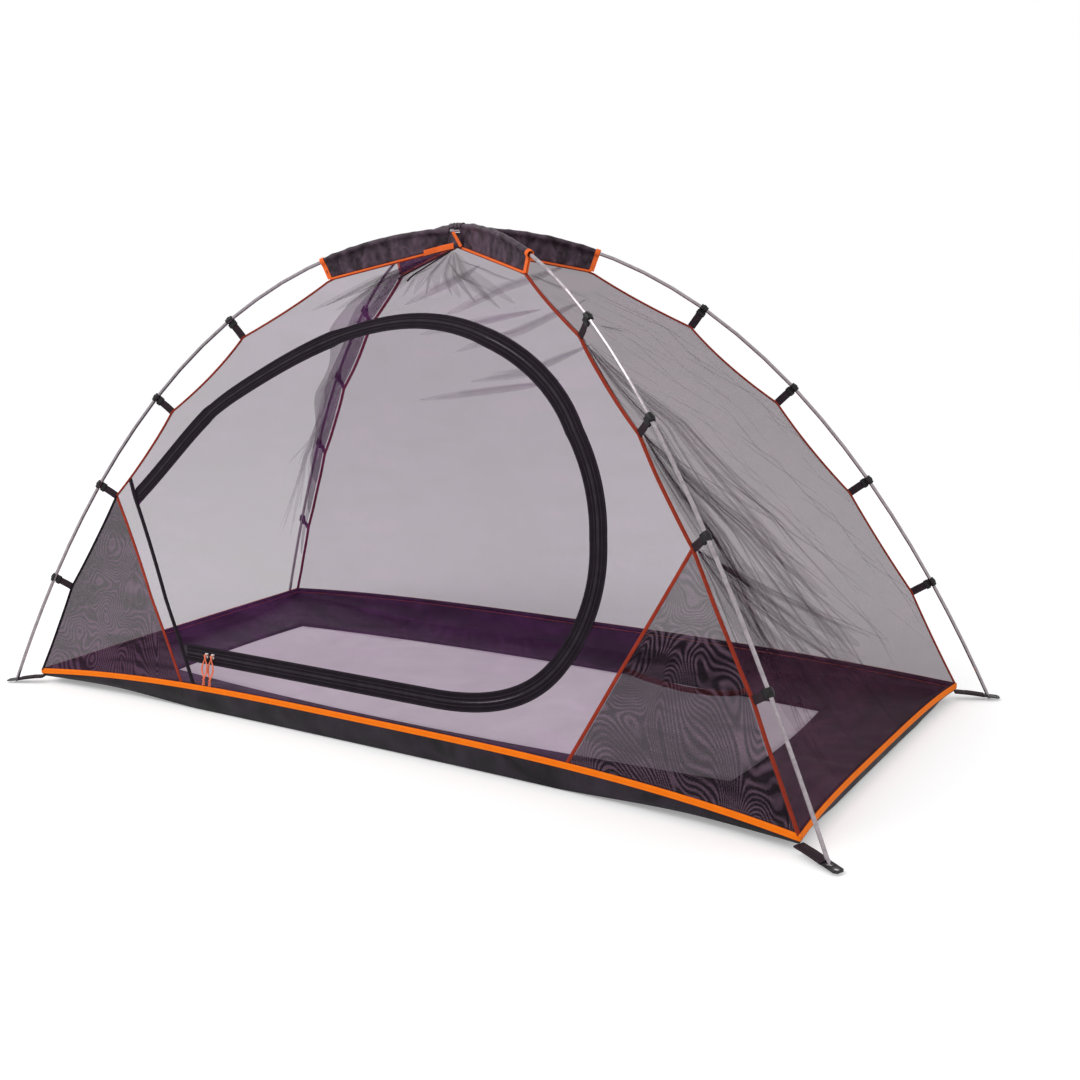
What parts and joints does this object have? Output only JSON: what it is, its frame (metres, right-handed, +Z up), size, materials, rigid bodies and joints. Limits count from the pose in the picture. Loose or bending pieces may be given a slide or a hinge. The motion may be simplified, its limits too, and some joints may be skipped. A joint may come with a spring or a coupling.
{
  "type": "mosquito net tent",
  "caption": "Free-standing one-person mosquito net tent: a clipped net body with a D-shaped zip door and a dark tub floor, hung from crossed arched poles",
  "frame": {"origin": "the middle of the footprint, on the ground", "axes": "+X runs along the sleeper to the tent's right-hand end as seen from the door, +Y runs from the door side to the back, +Z is up"},
  "size_m": [2.2468, 1.0464, 1.1099],
  "materials": {
    "aluminium_pole": "bright anodised",
    "black_elastic": "woven cord",
    "black_webbing": "woven webbing with a moulded clip",
    "charcoal_cloth": "plain weave",
    "black_net": "fine see-through mesh",
    "dark_net": "finer, darker mesh",
    "red_binding": "folded binding tape",
    "orange_tape": "folded binding tape",
    "black_coated_cloth": "coated, slight sheen",
    "light_coated_cloth": "coated, slight sheen",
    "black_zip_tape": "woven tape with a nylon coil",
    "zip_metal": "plated",
    "orange_cord": "braided cord"
  },
  "bodies": {
    "tent": {"back_left_clip_1": "black_webbing", "back_left_clip_2": "black_webbing", "back_left_clip_3": "black_webbing", "back_left_clip_4": "black_webbing", "back_left_seam_tape": "red_binding", "back_left_sleeve": "charcoal_cloth", "back_left_tab": "black_webbing", "back_net_wall": "black_net", "back_right_clip_1": "black_webbing", "back_right_clip_2": "black_webbing", "back_right_clip_3": "black_webbing", "back_right_clip_4": "black_webbing", "back_right_seam_tape": "red_binding", "back_right_sleeve": "charcoal_cloth", "back_right_tab": "black_webbing", "corner_pocket": "dark_net", "door_hinge_tape": "black_zip_tape", "floor_panel": "light_coated_cloth", "front_left_clip_1": "black_webbing", "front_left_clip_2": "black_webbing", "front_left_clip_3": "black_webbing", "front_left_clip_4": "black_webbing", "front_left_seam_tape": "red_binding", "front_left_sleeve": "charcoal_cloth", "front_left_tab": "black_webbing", "front_net_wall": "black_net", "front_right_clip_1": "black_webbing", "front_right_clip_2": "black_webbing", "front_right_clip_3": "black_webbing", "front_right_clip_4": "black_webbing", "front_right_seam_tape": "red_binding", "front_right_sleeve": "charcoal_cloth", "front_right_tab": "black_webbing", "hem_tape": "orange_tape", "left_gusset_net": "dark_net", "left_net_wall": "black_net", "lower_pole_section_1": "aluminium_pole", "lower_pole_section_2": "aluminium_pole", "lower_pole_section_3": "aluminium_pole", "lower_pole_section_4": "aluminium_pole", "lower_pole_section_5": "aluminium_pole", "lower_pole_section_6": "aluminium_pole", "lower_shock_cord": "black_elastic", "right_gusset_net": "dark_net", "right_net_wall": "black_net", "tub_wall": "black_coated_cloth", "upper_pole_section_1": "aluminium_pole", "upper_pole_section_2": "aluminium_pole", "upper_pole_section_3": "aluminium_pole", "upper_pole_section_4": "aluminium_pole", "upper_pole_section_5": "aluminium_pole", "upper_pole_section_6": "aluminium_pole", "upper_shock_cord": "black_elastic", "wall_zip_tape": "black_zip_tape"},
    "door": {"door_net_panel": "black_net", "door_zip_tape": "black_zip_tape"},
    "left_slider": {"left_zip_slider": "zip_metal"},
    "right_slider": {"right_zip_slider": "zip_metal"},
    "left_pull": {"left_zip_pull": "orange_cord"},
    "right_pull": {"right_zip_pull": "orange_cord"}
  },
  "joints": [
    {"name": "door_hinge", "type": "hinge", "parent": "tent", "child": "door", "pos_m": [-0.54195, -0.43631, 0.1398], "axis": [0.4956, -0.1669, -0.8524], "range_deg": [0, 77]},
    {"name": "left_slider_slide", "type": "slide", "parent": "door", "child": "left_slider", "axis": [1, 0.0036, 0], "range_m": [-0.05, 0]},
    {"name": "right_slider_slide", "type": "slide", "parent": "door", "child": "right_slider", "axis": [1, 0.0036, 0], "range_m": [0, 0.62]},
    {"name": "left_pull_swing", "type": "hinge", "parent": "left_slider", "child": "left_pull", "pos_m": [-0.45998, -0.43831, 0.14041], "axis": [-1, -0.0036, 0], "range_deg": [0, 120]},
    {"name": "right_pull_swing", "type": "hinge", "parent": "right_slider", "child": "right_pull", "pos_m": [-0.43998, -0.43824, 0.14041], "axis": [-1, -0.0036, 0], "range_deg": [0, 120]}
  ]
}
